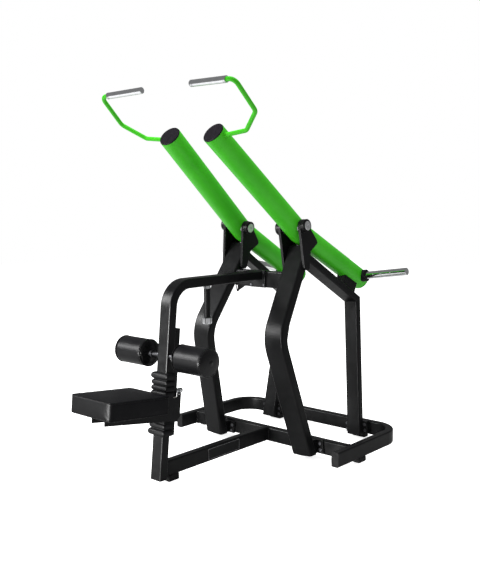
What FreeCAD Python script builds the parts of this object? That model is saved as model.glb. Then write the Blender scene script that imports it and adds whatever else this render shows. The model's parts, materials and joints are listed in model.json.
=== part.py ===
import FreeCAD, Part
import math
import os

V = FreeCAD.Vector

# ---------------------------------------------------------------- driving dimensions (mm)
# Z = 0 is the floor, X = 0 the machine's mid plane, the user sits at the -Y end.
FRAME_Z = 30.0            # underside of every floor beam
BEAM_H = 86.0             # floor beam height
BEAM_W = 48.0             # floor beam width
BEAM_T = 3.0              # floor beam wall
BEAM_R = 9.0              # outside corner radius of the rectangular tubes
BASE_X = 643.0            # half width over the side beams
BASE_FRONT_Y = 191.0      # open front ends of the side beams
BASE_REAR_Y = 901.0       # outer face of the rear run
BASE_CORNER_R = 165.0     # outside radius of the two bent rear corners
CROSS_Y = 330.0           # front face of the cross beam
CENTRE_RISE = 6.0         # centre beam sits this much above the floor beams

DATUM_Y = 3.159          # brings the middle of the overall length to Y = 0

# each side frame (leg, rear post, inclined beam, lever arm) lies in a plane that leans inward
SIDE_X = 352.6            # where the side plane meets the frame underside
SIDE_LEAN = 5.8           # degrees of inward lean

LEG_W = 132.0
LEG_D = 62.0
LEG_FRONT = ((234.0, 0.0), (32.6, 721.2), (384.0, 1279.0))   # (y, up) of the leg's front line
LEG_BEND_R = 199.0        # centre line radius
LEG_TOP = 1231.0

POST_W = 98.0             # rear post and inclined beam width
POST_D = 46.0
REAR_FRONT_Y = 784.0      # rear post front face at frame underside level
REAR_SLOPE = 0.096        # rearward travel per mm of rise
INCL_TOP = ((446.0, 1153.0), (716.0, 991.0))   # two points on the inclined beam's top face
INCL_D = 48.0

PIVOT = (325.0, 1339.5)
KINK = (376.0, 1307.0)
TUBE_TOP = (-296.0, 1854.0)
TUBE_END = (994.0, 979.0)
TUBE_R = 64.0
TUBE_T = 3.5
HUB_R = 33.0
HUB_HALF = 65.0
SHAFT_R = 15.0
BEARING_R = 26.0
BEARING_L = 15.0
RUN_GAP = 0.05            # radial running clearance of every turning or sliding fit
EAR_IN = 66.0
EAR_T = 16.0               # ear plate thickness
EAR_OUT = 105.0            # outer face of the round boss on each ear
EAR_R = 40.0

HORN_R = 24.0
HORN_END = 377.0
SPIGOT_R = 20.0            # horn inside the lever tube and collar
SPIGOT_L = 84.0
HORN_UP = 2.2             # extra degrees of upward tilt
HORN_S = 652.0            # distance of the horn from the kink along the lower tube
COLLAR_R = 38.0

BAR_R = 12.0
BAR_BEND = 38.0
GRIP_R = 18.0
BAR_PATH = ((0.0, -274.0, 1836.0), (212.0, -277.0, 1835.0), (346.0, -353.0, 1903.0),
            (353.0, -503.0, 2046.0), (46.5, -480.0, 2086.0))
GRIP_LEN = 258.0

SEATPOST_W = 82.0
SEATPOST_D = 53.0
SEATPOST_Y = -604.0       # front face at the frame underside
POST_LEAN = 5.8           # degrees the seat post leans rearward
TOP_BEAM_Z = 1100.0       # top of the horizontal run
TOP_BEAM_R = 128.5        # centre line bend radius
TOP_BEAM_END = 258.0
MEMBER_Y = 270.0
MEMBER_D = 48.0
MEMBER_H = 100.0

RAIL_W = 64.0
RAIL_D = 38.0
RAIL_LO = 240.0
RAIL_HI = 820.0
NOTCH = 45.0              # pitch of the seat height holes
PIN_W = 474.0             # height of the locking pin along the post
PIN_R = 6.0
PIN_CLEAR = 1.0           # the parked pin's tip stands this far off the rail

CAR_LO = 315.0            # seat carriage span along the post
CAR_HI = 447.0
CAR_X = 46.0
CAR_WALL = 3.0
PLATE_T = 7.0
PAD_W = 324.0
PAD_FRONT = -474.0
PAD_BACK = -69.0
PAD_LO = 404.0
PAD_HI = 491.0
PAD_CORNER = 28.0
BOARD_T = 15.0

ROLLER_W = 672.0          # roller axle height along the post
ROLLER_V = 21.0           # axle distance behind the post's front face
ROLLER_R = 76.5
ROLLER_IN = 126.0
ROLLER_OUT = 322.0
AXLE_R = 12.5

BRACE_Y = -186.0

os.makedirs("parts", exist_ok=True)
PARTS = {}


# ---------------------------------------------------------------- helpers
def box(x0, x1, y0, y1, z0, z1):
    return Part.makeBox(x1 - x0, y1 - y0, z1 - z0, V(x0, y0, z0))


def cyl(base, axis, radius, length):
    return Part.makeCylinder(radius, length, V(*base), V(*axis))


def ring(base, axis, r_out, r_in, length):
    return cyl(base, axis, r_out, length).cut(cyl(base, axis, r_in, length))


def fuse(shapes):
    out = shapes[0]
    for s in shapes[1:]:
        out = out.fuse(s)
    return out.removeSplitter()


def bent_wire(points, radius):
    """Polyline with every inner corner rounded to one radius."""
    pts = [V(*p) for p in points]
    edges = []
    last = pts[0]
    for i in range(1, len(pts) - 1):
        u1 = (pts[i] - pts[i - 1]).normalize()
        u2 = (pts[i + 1] - pts[i]).normalize()
        turn = u1.getAngle(u2)
        back = radius * math.tan(turn / 2)
        a = pts[i] - u1 * back
        b = pts[i] + u2 * back
        inward = (u2 - u1).normalize()
        centre = pts[i] + inward * (radius / math.cos(turn / 2))
        edges.append(Part.makeLine(last, a))
        edges.append(Part.Arc(a, centre - inward * radius, b).toShape())
        last = b
    edges.append(Part.makeLine(last, pts[-1]))
    return Part.Wire(edges)


def section(origin, along, side, width, depth, radius):
    """Rounded rectangle at origin, square to along, its width measured along side."""
    t = V(*along).normalize()
    s = V(*side).normalize()
    d = t.cross(s).normalize()
    o = V(*origin)
    hw = width / 2
    hd = depth / 2
    r = radius

    def at(p, q):
        return o + s * p + d * q

    k = r * (1 - math.sqrt(0.5))
    corners = ((1, 1), (-1, 1), (-1, -1), (1, -1))
    edges = []
    for i, (a, b) in enumerate(corners):
        na, nb = corners[(i + 1) % 4]
        if a == -na:
            p = at(a * (hw - r), b * hd)
            q = at(na * (hw - r), nb * hd)
        else:
            p = at(a * hw, b * (hd - r))
            q = at(na * hw, nb * (hd - r))
        edges.append(Part.makeLine(p, q))
        if na == a:
            start = q
            mid = at(na * (hw - k), nb * (hd - k))
            end = at(na * (hw - r), nb * hd)
        else:
            start = q
            mid = at(na * (hw - k), nb * (hd - k))
            end = at(na * hw, nb * (hd - r))
        edges.append(Part.Arc(start, mid, end).toShape())
    return Part.Wire(edges)


def swept(points, radius, side, width, depth, corner, wall=0.0):
    """Rectangular tube along a bent path; returns (outer solid, tube)."""
    path = bent_wire(points, radius) if len(points) > 2 else Part.Wire(
        [Part.makeLine(V(*points[0]), V(*points[1]))])
    along = tuple(V(*points[1]) - V(*points[0]))
    outer = path.makePipeShell([section(points[0], along, side, width, depth, corner)], True, False)
    if wall <= 0:
        return outer, outer
    inner = path.makePipeShell([section(points[0], along, side, width - 2 * wall,
                                        depth - 2 * wall, corner - wall)], True, False)
    return outer, outer.cut(inner)


def slab(poly, x0, x1):
    """Polygon in the (y, z) plane, given as points, extruded from x0 to x1."""
    wire = Part.makePolygon([V(x0, p[0], p[1]) for p in list(poly) + [poly[0]]])
    return Part.Face(wire).extrude(V(x1 - x0, 0, 0))


def side_place(shape, mirror=False):
    """Move a shape drawn with the side plane upright at x = 0 to its leaning place."""
    s = shape.copy()
    s.rotate(V(0, 0, 0), V(0, 1, 0), -SIDE_LEAN)
    s.translate(V(SIDE_X, 0, FRAME_Z))
    if mirror:
        s = s.mirror(V(0, 0, 0), V(1, 0, 0))
    return s


def post_place(shape):
    """Move a shape drawn against an upright seat post to the leaning post."""
    s = shape.copy()
    s.rotate(V(0, 0, 0), V(1, 0, 0), -POST_LEAN)
    s.translate(V(0, SEATPOST_Y, FRAME_Z))
    return s


def bolt(base, axis, radius, length, across, head):
    """Hex head screw: head seated at base, shank running along axis."""
    t = V(*axis).normalize()
    shank = Part.makeCylinder(radius, length, V(*base), t)
    helper = V(0, 0, 1) if abs(t.z) < 0.9 else V(1, 0, 0)
    a = t.cross(helper).normalize()
    b = t.cross(a)
    pts = []
    for i in range(7):
        ang = math.radians(60 * i)
        r = across / math.sqrt(3)
        pts.append(V(*base) + a * (r * math.cos(ang)) + b * (r * math.sin(ang)))
    hexa = Part.Face(Part.makePolygon(pts)).extrude(t * -head)
    return shank.fuse(hexa)


def keep(name, shape):
    PARTS[name] = shape


def keep_pair(name, shape):
    keep(name + "_right", side_place(shape))
    keep(name + "_left", side_place(shape, True))


def both(shape):
    return [side_place(shape), side_place(shape, True)]


# ---------------------------------------------------------------- floor frame
half = BASE_X - BEAM_W / 2
rear_c = BASE_REAR_Y - BEAM_W / 2
mid_z = FRAME_Z + BEAM_H / 2
base_path = ((half, BASE_FRONT_Y, mid_z), (half, rear_c, mid_z), (-half, rear_c, mid_z),
             (-half, BASE_FRONT_Y, mid_z))
base_outer, base_frame = swept(base_path, BASE_CORNER_R - BEAM_W / 2, (1, 0, 0), BEAM_W, BEAM_H,
                               BEAM_R, BEAM_T)

cross_solid, cross_beam = swept(((-BASE_X + BEAM_W, CROSS_Y + BEAM_W / 2, mid_z),
                                 (BASE_X - BEAM_W, CROSS_Y + BEAM_W / 2, mid_z)), 0,
                                (0, 1, 0), BEAM_W, BEAM_H, BEAM_R, BEAM_T)

# ---------------------------------------------------------------- seat post and top beam
lean = math.radians(POST_LEAN)
foot_c = V(0, SEATPOST_Y + SEATPOST_D / 2 * math.cos(lean), FRAME_Z - SEATPOST_D / 2 * math.sin(lean))
rise = (TOP_BEAM_Z - SEATPOST_D / 2 - foot_c.z) / math.cos(lean)
corner = (0, foot_c.y + rise * math.sin(lean), TOP_BEAM_Z - SEATPOST_D / 2)
low = (0, foot_c.y - 40 * math.sin(lean), foot_c.z - 40 * math.cos(lean))
post_outer, front_post = swept((low, corner, (0, TOP_BEAM_END, corner[2])), TOP_BEAM_R,
                               (1, 0, 0), SEATPOST_W, SEATPOST_D, BEAM_R, BEAM_T)
below = box(-200, 200, -900, -300, -200, FRAME_Z)
front_post = front_post.cut(below)
axle_hole = post_place(cyl((-100, ROLLER_V, ROLLER_W), (1, 0, 0), AXLE_R, 200))
front_post = front_post.cut(axle_hole)

centre_z = FRAME_Z + CENTRE_RISE
centre_beam = swept(((0, SEATPOST_Y, centre_z + BEAM_H / 2), (0, CROSS_Y, centre_z + BEAM_H / 2)), 0,
                    (1, 0, 0), BEAM_W, BEAM_H, BEAM_R, BEAM_T)[1]
ahead = post_place(box(-200, 200, -300, SEATPOST_D, -200, 400))
centre_beam = centre_beam.cut(ahead)

plate_y = -216.0
name_plate = box(BEAM_W / 2, BEAM_W / 2 + 1.5, plate_y, plate_y + 270, centre_z + 10, centre_z + 76)

top_flange = box(-58, 58, TOP_BEAM_END, TOP_BEAM_END + 12, TOP_BEAM_Z - 101, TOP_BEAM_Z + 3)

# ---------------------------------------------------------------- legs
def offset_line(points, dist):
    """Shift an open polyline sideways (rearward for positive dist)."""
    out = []
    dirs = []
    for a, b in zip(points, points[1:]):
        n = math.hypot(b[0] - a[0], b[1] - a[1])
        dirs.append(((b[0] - a[0]) / n, (b[1] - a[1]) / n))
    for i, p in enumerate(points):
        if 0 < i < len(points) - 1:
            d1 = dirs[i - 1]
            d2 = dirs[i]
            n1 = (d1[1], -d1[0])
            n2 = (d2[1], -d2[0])
            k = dist / (1 + n1[0] * n2[0] + n1[1] * n2[1])
            out.append((p[0] + k * (n1[0] + n2[0]), p[1] + k * (n1[1] + n2[1])))
        else:
            d = dirs[0] if i == 0 else dirs[-1]
            out.append((p[0] + dist * d[1], p[1] - dist * d[0]))
    return out


leg_line = [(0, y, z) for y, z in offset_line(LEG_FRONT, LEG_D / 2)]
start = V(*leg_line[0])
run = (V(*leg_line[1]) - start).normalize()
leg_line[0] = tuple(start - run * 60)
leg_outer, leg_tube = swept(leg_line, LEG_BEND_R, (1, 0, 0), LEG_W, LEG_D, 12.0, BEAM_T)
leg_cap = leg_outer.common(box(-100, 100, -200, 700, LEG_TOP - 6, LEG_TOP))
leg_tube = leg_tube.cut(box(-200, 200, -200, 700, LEG_TOP, LEG_TOP + 300)).fuse(leg_cap)


def axis_dir(a, b):
    n = math.hypot(b[0] - a[0], b[1] - a[1])
    return (0, (b[0] - a[0]) / n, (b[1] - a[1]) / n)


down = axis_dir(KINK, TUBE_END)
up = axis_dir(KINK, TUBE_TOP)
LOW_LEN = math.hypot(TUBE_END[0] - KINK[0], TUBE_END[1] - KINK[1])
UP_LEN = math.hypot(TUBE_TOP[0] - KINK[0], TUBE_TOP[1] - KINK[1])
tube_room = cyl((0, KINK[0] - down[1] * 200, KINK[1] - down[2] * 200), down, TUBE_R + 8, 900)
leg_tube = leg_tube.cut(tube_room)

cut_below = box(-300, 300, -300, 500, -300, 0)
flange_y = CROSS_Y - 14
wedge = box(-54, 54, 240, CROSS_Y - 14, 2, 84).cut(leg_outer)
wedge = wedge.cut(slab(((100, -20), (234, -20), (210, 120), (100, 120)), -80, 80))
leg_flange = box(-98, 98, flange_y, CROSS_Y, 4, 82)
leg_low = leg_tube.cut(cut_below).cut(box(-300, 300, flange_y, 600, -100, 120))
leg = side_place(fuse([leg_low, wedge, leg_flange]))
floor_trim = box(-900, 900, -900, 900, -100, FRAME_Z)
leg = leg.cut(floor_trim)
leg_solid = side_place(leg_outer)

# ---------------------------------------------------------------- rear posts and inclined beams
def rear_pt(offset, z):
    return REAR_FRONT_Y + REAR_SLOPE * z + offset


incl_dir = axis_dir(INCL_TOP[0], INCL_TOP[1])
norm = (incl_dir[2], -incl_dir[1])       # points down and forward of the beam
half_in = INCL_D / 2
i_a = (0, INCL_TOP[0][0] + norm[0] * half_in - incl_dir[1] * 200,
       INCL_TOP[0][1] + norm[1] * half_in - incl_dir[2] * 200)
i_b = (0, i_a[1] + incl_dir[1] * 900, i_a[2] + incl_dir[2] * 900)
incl_outer, incl_tube = swept((i_a, i_b), 0, (1, 0, 0), POST_W, INCL_D, BEAM_R, BEAM_T)

rise_u = math.hypot(1, REAR_SLOPE)
r_off = POST_D / 2 * rise_u
r_a = (0, rear_pt(r_off, -60), -60)
r_b = (0, rear_pt(r_off, 1100), 1100)
rear_outer, rear_tube = swept((r_a, r_b), 0, (1, 0, 0), POST_W, POST_D, BEAM_R, BEAM_T)


def line_hit(p, d, q, e):
    """Crossing of two lines in the (y, z) plane."""
    det = d[0] * e[1] - d[1] * e[0]
    t = ((q[0] - p[0]) * e[1] - (q[1] - p[1]) * e[0]) / det
    return p[0] + d[0] * t, p[1] + d[1] * t


i_dir = (incl_dir[1], incl_dir[2])
r_dir = (REAR_SLOPE / rise_u, 1 / rise_u)
low_pt = (INCL_TOP[0][0] + norm[0] * INCL_D, INCL_TOP[0][1] + norm[1] * INCL_D)
m_in = line_hit(low_pt, i_dir, (rear_pt(0, 0), 0), r_dir)
m_out = line_hit(INCL_TOP[0], i_dir, (rear_pt(POST_D * rise_u, 0), 0), r_dir)
mx = m_out[0] - m_in[0]
mz = m_out[1] - m_in[1]
far = ((m_in[0] - 2 * mx, m_in[1] - 2 * mz), (m_out[0] + 6 * mx, m_out[1] + 6 * mz),
       (m_out[0] + 6 * mx + 300, m_out[1] - 1200), (m_in[0] - 2 * mx - 200, m_in[1] - 1200))
keep_low = slab(far, -200, 200)
inclined = incl_tube.cut(keep_low).cut(leg_outer)
inclined = inclined.cut(box(-200, 200, -400, 330, 900, 1600))
pieces = sorted(inclined.Solids, key=lambda s: -s.Volume)
inclined = pieces[0]
rear_post = rear_tube.common(keep_low)
rear_flange = box(-80, 80, 826, BASE_REAR_Y - BEAM_W, 4, 82).cut(rear_outer)
rear_flange = sorted(rear_flange.Solids, key=lambda s: -s.CenterOfMass.y)[0]
rear_low = rear_post.cut(box(-300, 300, BASE_REAR_Y - BEAM_W, 1200, -100, 120))
rear = side_place(fuse([rear_low, rear_flange])).cut(floor_trim)

# ---------------------------------------------------------------- leg cross member with gussets
member = swept(((-300, MEMBER_Y + MEMBER_D / 2, TOP_BEAM_Z - 2 - MEMBER_H / 2),
                (300, MEMBER_Y + MEMBER_D / 2, TOP_BEAM_Z - 2 - MEMBER_H / 2)), 0,
               (0, 1, 0), MEMBER_D, MEMBER_H, BEAM_R, BEAM_T)[1]
m_low = TOP_BEAM_Z - 2 - MEMBER_H
gussets = []
for sx in (-1, 1):
    tri = [V(sx * 128, MEMBER_Y + 20, m_low), V(sx * 230, MEMBER_Y + 20, m_low),
           V(sx * 230, MEMBER_Y + 20, m_low - 62)]
    gussets.append(Part.Face(Part.makePolygon(tri + [tri[0]])).extrude(V(0, 8, 0)))
member = fuse([member] + gussets)
beyond = box(-LEG_W / 2, 400, -400, 900, 0, 1600)
for cutter in both(beyond):
    member = member.cut(cutter)

# ---------------------------------------------------------------- pivot ears, shafts and caps
def ear_face(x):
    py, pz = PIVOT
    a = math.radians(23.0)
    left = V(x, py - EAR_R, pz)
    right = V(x, py + EAR_R * math.cos(a), pz + EAR_R * math.sin(a))
    top = V(x, py, pz + EAR_R)
    pts = [right, V(x, 439, 1254), V(x, 444, 1240), V(x, 436, 1228), V(x, 370, 1190), V(x, 346, 1092),
           V(x, 336, 1082), V(x, 310, 1082), V(x, 300, 1096), left]
    edges = [Part.makeLine(p, q) for p, q in zip(pts, pts[1:])]
    edges.append(Part.Arc(left, top, right).toShape())
    return Part.Face(Part.Wire(edges))


ears = []
for sx in (1, -1):
    plate = ear_face(sx * EAR_IN).extrude(V(sx * EAR_T, 0, 0))
    boss = cyl((sx * (EAR_IN + 2), PIVOT[0], PIVOT[1]), (sx, 0, 0), EAR_R - 1, EAR_OUT - EAR_IN - 2)
    ear = plate.fuse(boss).removeSplitter()
    ears.append(ear.cut(cyl((-120, PIVOT[0], PIVOT[1]), (1, 0, 0), SHAFT_R, 240)))
ear_pair = Part.makeCompound(ears)

shaft = cyl((-EAR_OUT, PIVOT[0], PIVOT[1]), (1, 0, 0), SHAFT_R, 2 * EAR_OUT)
caps = []
for sx in (1, -1):
    stub = cyl((sx * EAR_OUT, PIVOT[0], PIVOT[1]), (-sx, 0, 0), 6, 24)
    shaft = shaft.cut(cyl((sx * EAR_OUT, PIVOT[0], PIVOT[1]), (-sx, 0, 0), 6, 26))
    disc = cyl((sx * EAR_OUT, PIVOT[0], PIVOT[1]), (sx, 0, 0), 27, 6)
    rim = [e for e in disc.Edges if abs(e.CenterOfMass.x) > EAR_OUT + 5.9]
    disc = disc.makeChamfer(1.5, rim)
    socket = bolt((sx * (EAR_OUT + 2.5), PIVOT[0], PIVOT[1]), (-sx, 0, 0), 0.5, 0.4, 12, 5)
    caps.append(disc.fuse(stub).cut(socket).removeSplitter())

# ---------------------------------------------------------------- lever arms
def tube_at(s, lower=True):
    d = down if lower else up
    return (0, KINK[0] + d[1] * s, KINK[1] + d[2] * s)


def kinked(radius, low_len, up_len):
    d1 = V(*down)
    d2 = V(*up)
    split = (d1 - d2).normalize()
    k = V(0, KINK[0], KINK[1])
    far_side = Part.makeBox(800, 800, 800)
    far_side.translate(V(-400, -400, 0))
    far_side.Placement = FreeCAD.Placement(k, FreeCAD.Rotation(V(0, 0, 1), split)).multiply(
        far_side.Placement)
    a = cyl(tuple(k - d1 * 200), down, radius, low_len + 200).common(
        far_side.fuse(cyl(tuple(k + d1 * 300), down, radius + 1, 900)))
    near_side = Part.makeBox(800, 800, 800)
    near_side.translate(V(-400, -400, 0))
    near_side.Placement = FreeCAD.Placement(k, FreeCAD.Rotation(V(0, 0, 1), split * -1)).multiply(
        near_side.Placement)
    b = cyl(tuple(k - d2 * 200), up, radius, up_len + 200).common(
        near_side.fuse(cyl(tuple(k + d2 * 300), up, radius + 1, 900)))
    return a.fuse(b).removeSplitter()


tube_outer = kinked(TUBE_R, LOW_LEN, UP_LEN)
tube_inner = kinked(TUBE_R - TUBE_T, LOW_LEN + 5, UP_LEN + 5)
hub_solid = cyl((-HUB_HALF, PIVOT[0], PIVOT[1]), (1, 0, 0), HUB_R, 2 * HUB_HALF)
lever = tube_outer.cut(tube_inner).cut(hub_solid)

hub = hub_solid.cut(cyl((-HUB_HALF, PIVOT[0], PIVOT[1]), (1, 0, 0), 20, 2 * HUB_HALF))
bearings = []
for sx in (1, -1):
    seat_cut = cyl((sx * HUB_HALF, PIVOT[0], PIVOT[1]), (-sx, 0, 0), BEARING_R, BEARING_L)
    hub = hub.cut(seat_cut)
    bearings.append(ring((sx * HUB_HALF, PIVOT[0], PIVOT[1]), (-sx, 0, 0), BEARING_R,
                         SHAFT_R + RUN_GAP, BEARING_L))

horn_p = tube_at(HORN_S)
tilt = math.radians(HORN_UP)
horn_axis = (math.cos(tilt), 0, math.sin(tilt))
horn_len = (HORN_END) / math.cos(tilt)
horn_root = V(*horn_p) + V(*horn_axis) * SPIGOT_L
rod = cyl(tuple(horn_root), horn_axis, HORN_R, horn_len - SPIGOT_L)
tip = [e for e in rod.Edges if e.CenterOfMass.x > HORN_END - 2 and abs(e.Length - 2 * math.pi * HORN_R) < 1]
rod = rod.makeChamfer(3.0, tip)
rod = rod.fuse(cyl(horn_p, horn_axis, SPIGOT_R, SPIGOT_L)).removeSplitter()
lever = lever.cut(rod)
collar = cyl(tuple(V(*horn_p) + V(*horn_axis) * 40), horn_axis, COLLAR_R, SPIGOT_L - 40)
collar = collar.cut(cyl(tube_at(0), down, TUBE_R, LOW_LEN + 50)).cut(rod)
collar = sorted(collar.Solids, key=lambda s: -s.CenterOfMass.x)[0]

slug = cyl(tube_at(508), down, TUBE_R - TUBE_T, 105)

def end_cap(centre, axis):
    rim = cyl(centre, axis, TUBE_R - 1.5, 7)
    edge = [e for e in rim.Edges if V(*axis).dot(e.CenterOfMass - V(*centre)) > 6.5]
    rim = rim.makeFillet(3.0, edge)
    back = tuple(-c for c in axis)
    plug = ring(centre, back, TUBE_R - TUBE_T, TUBE_R - TUBE_T - 4, 18)
    return rim.fuse(plug).removeSplitter()


top_cap = end_cap(tube_at(UP_LEN, False), up)
low_cap = end_cap(tube_at(LOW_LEN), down)

bar_path = [V(*p) for p in BAR_PATH]
bar_wire = bent_wire([tuple(p) for p in bar_path], BAR_BEND)
start_dir = (bar_path[1] - bar_path[0]).normalize()
circle = Part.Wire([Part.Circle(bar_path[0], start_dir, BAR_R).toShape()])
bar = bar_wire.makePipeShell([circle], True, False)
bar = bar.cut(cyl(tube_at(UP_LEN + 50, False), tuple(-c for c in up), TUBE_R, UP_LEN))
bar = sorted(bar.Solids, key=lambda s: -s.Volume)[0]
grip_dir = (bar_path[4] - bar_path[3]).normalize()
grip_start = bar_path[4] - grip_dir * GRIP_LEN
grip_tube = Part.makeCylinder(GRIP_R, GRIP_LEN, grip_start, grip_dir)
grip = grip_tube.cut(Part.makeCylinder(BAR_R, GRIP_LEN + 2, grip_start - grip_dir, grip_dir))
grip_plug = Part.makeCylinder(GRIP_R, 5, bar_path[4], grip_dir)
rim = [e for e in grip_plug.Edges if (e.CenterOfMass - bar_path[4]).dot(grip_dir) > 4]
grip_plug = grip_plug.makeFillet(2.5, rim)
grip = grip.fuse(grip_plug).removeSplitter()

# ---------------------------------------------------------------- lever stops
incl_top_dir = V(*incl_dir)
p0 = V(0, INCL_TOP[0][0], INCL_TOP[0][1]) + incl_top_dir * 360
pad_normal = V(0, -norm[0], -norm[1])
pad_pts = [p0, p0 + incl_top_dir * 136, p0 + incl_top_dir * 136 + pad_normal * 110,
           p0 + pad_normal * 110]
pad_wire = [(p.y, p.z) for p in pad_pts]
stop_pad = slab(pad_wire, -31, 31)
stop_pad = stop_pad.cut(cyl(tube_at(100), down, TUBE_R + RUN_GAP, 700))
stop_pad = sorted(stop_pad.Solids, key=lambda s: s.CenterOfMass.z)[0]

# ---------------------------------------------------------------- seat rail on the post
rail = box(-RAIL_W / 2, RAIL_W / 2, SEATPOST_D, SEATPOST_D + RAIL_D, RAIL_LO, RAIL_HI)
rail = rail.cut(box(-RAIL_W / 2 + 6, RAIL_W / 2 - 6, SEATPOST_D + 6, SEATPOST_D + RAIL_D - 6,
                    RAIL_LO + 6, RAIL_HI - 6))
for n in range(-5, 8):
    w = PIN_W + n * NOTCH
    if RAIL_LO + 15 < w < RAIL_HI - 15:
        rail = rail.cut(cyl((0, SEATPOST_D + 14, w), (0, 1, 0), PIN_R + RUN_GAP, RAIL_D))

# ---------------------------------------------------------------- seat carriage
post_shape = box(-SEATPOST_W / 2 - RUN_GAP, SEATPOST_W / 2 + RUN_GAP, -RUN_GAP,
                 SEATPOST_D + 1, 0, 900)
rail_shape = box(-RAIL_W / 2 - RUN_GAP, RAIL_W / 2 + RUN_GAP, SEATPOST_D,
                 SEATPOST_D + RAIL_D + RUN_GAP, 0, 900)
guide = post_shape.fuse(rail_shape)
sleeve_back = SEATPOST_D + RAIL_D + 6
sleeve = box(-CAR_X, CAR_X, -5, sleeve_back, CAR_LO, CAR_HI)
bore = box(-CAR_X + CAR_WALL, CAR_X - CAR_WALL, -2, sleeve_back - 3, CAR_LO, CAR_HI)
sleeve = sleeve.cut(bore)
tab = box(-22, 22, sleeve_back - 3, sleeve_back + 5, CAR_HI - 40, PIN_W + 20)
sleeve = sleeve.fuse(tab)
sleeve = sleeve.cut(cyl((0, sleeve_back - 20, PIN_W), (0, 1, 0), 9, 40)).removeSplitter()
liners = []
for lo in (CAR_LO, CAR_HI - 32):
    liners.append(box(-CAR_X + CAR_WALL, CAR_X - CAR_WALL, -2, sleeve_back - 3, lo, lo + 32).cut(guide))

PLATE_LO = CAR_LO + 12
EAR_HOLE = (sleeve_back - 4, CAR_HI + 17)
plate_poly = ((-411, PAD_LO - BOARD_T), (-411, PLATE_LO + 20), (-40, PLATE_LO), (90, PLATE_LO),
              (sleeve_back + 9, PLATE_LO + 14), (sleeve_back + 9, CAR_HI + 17),
              (sleeve_back - 17, CAR_HI + 17), (sleeve_back - 17, CAR_HI), (-58, CAR_HI),
              (-62, PAD_LO - BOARD_T))
plates = []
for sx in (-1, 1):
    one = slab(plate_poly, sx * CAR_X, sx * (CAR_X + PLATE_T))
    one = one.fuse(cyl((sx * CAR_X, EAR_HOLE[0], EAR_HOLE[1]), (sx, 0, 0), 13, PLATE_T)).removeSplitter()
    plates.append(one.cut(cyl((-90, EAR_HOLE[0], EAR_HOLE[1]), (1, 0, 0), 4.5, 180)))

board = box(-PAD_W / 2 + 12, PAD_W / 2 - 12, PAD_FRONT + 14, PAD_BACK - 8, PAD_LO - BOARD_T, PAD_LO)
seat_pad = box(-PAD_W / 2, PAD_W / 2, PAD_FRONT, PAD_BACK, PAD_LO, PAD_HI)
up_edges = [e for e in seat_pad.Edges if abs(e.BoundBox.ZLength - (PAD_HI - PAD_LO)) < 0.1]
seat_pad = seat_pad.makeFillet(PAD_CORNER, up_edges)
top_edges = [e for e in seat_pad.Edges if e.CenterOfMass.z > PAD_HI - 0.1]
seat_pad = seat_pad.makeFillet(8.0, top_edges)

seat_bolts = []
for sx in (-1, 1):
    for v in (-330, -110):
        lug_x = sx * (CAR_X - 12)
        board = board.cut(cyl((lug_x, v, PAD_LO - BOARD_T), (0, 0, 1), 4.2, BOARD_T - 3))
        seat_bolts.append(bolt((lug_x, v, PAD_LO - BOARD_T - 5), (0, 0, 1), 4.0, 15, 13, 5))
lugs = []
for sx in (-1, 1):
    for v in (-330, -110):
        a = sx * (CAR_X - 24)
        b = sx * CAR_X
        lug = box(min(a, b), max(a, b), v - 18, v + 18, PAD_LO - BOARD_T - 5, PAD_LO - BOARD_T)
        lug = lug.cut(cyl((sx * (CAR_X - 12), v, PAD_LO - BOARD_T - 10), (0, 0, 1), 4.2, 20))
        lugs.append((sx, lug))
plate_left = fuse([plates[0]] + [g for s, g in lugs if s < 0])
plate_right = fuse([plates[1]] + [g for s, g in lugs if s > 0])


def ribs(lo, hi, crests):
    """Ribbed rubber buffer wrapping the front and sides of the post."""
    body = box(-SEATPOST_W / 2 - 8, SEATPOST_W / 2 + 8, -8, SEATPOST_D - 6, lo, hi)
    parts = [body]
    for w, h, r in crests:
        reach = SEATPOST_W / 2 + r + 4
        rib = box(-reach, reach, -r, SEATPOST_D - 6, w - h / 2, w + h / 2)
        long_edges = [e for e in rib.Edges
                      if e.BoundBox.ZLength < 0.1 and e.CenterOfMass.y < SEATPOST_D - 7]
        parts.append(rib.makeFillet(min(h * 0.42, 7.0), long_edges))
    solid = fuse(parts)
    return solid.cut(box(-SEATPOST_W / 2 - 0.4, SEATPOST_W / 2 + 0.4, -0.4, SEATPOST_D + 5, lo - 5, hi + 5))


upper_buffer = ribs(CAR_HI, CAR_HI + 135, ((CAR_HI + 116, 34, 20), (CAR_HI + 80, 22, 16),
                                           (CAR_HI + 50, 22, 16), (CAR_HI + 20, 22, 16)))
lower_buffer = ribs(CAR_LO - 72, CAR_LO, ((CAR_LO - 54, 32, 20), (CAR_LO - 16, 22, 14)))

barrel = ring((0, sleeve_back + 5, PIN_W), (0, 1, 0), 14, 7.5, 21)
barrel = barrel.fuse(ring((0, sleeve_back - 2.5, PIN_W), (0, 1, 0), 9, PIN_R + RUN_GAP, 12))
barrel = barrel.cut(cyl((0, sleeve_back - 10, PIN_W), (0, 1, 0), PIN_R + RUN_GAP, 60)).removeSplitter()
tip_v = SEATPOST_D + RAIL_D + PIN_CLEAR
pin = cyl((0, tip_v, PIN_W), (0, 1, 0), PIN_R, sleeve_back + 58 - tip_v)
pin_tip = [e for e in pin.Edges if e.CenterOfMass.y < tip_v + 1]
pin = pin.makeChamfer(1.5, pin_tip)
knob = cyl((0, sleeve_back + 39.5, PIN_W), (0, 1, 0), 15, 22)
knob_edges = [e for e in knob.Edges if e.BoundBox.YLength < 0.1]
knob = knob.makeFillet(4.0, knob_edges)
adjust_pin = pin.fuse(knob).removeSplitter()

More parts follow.
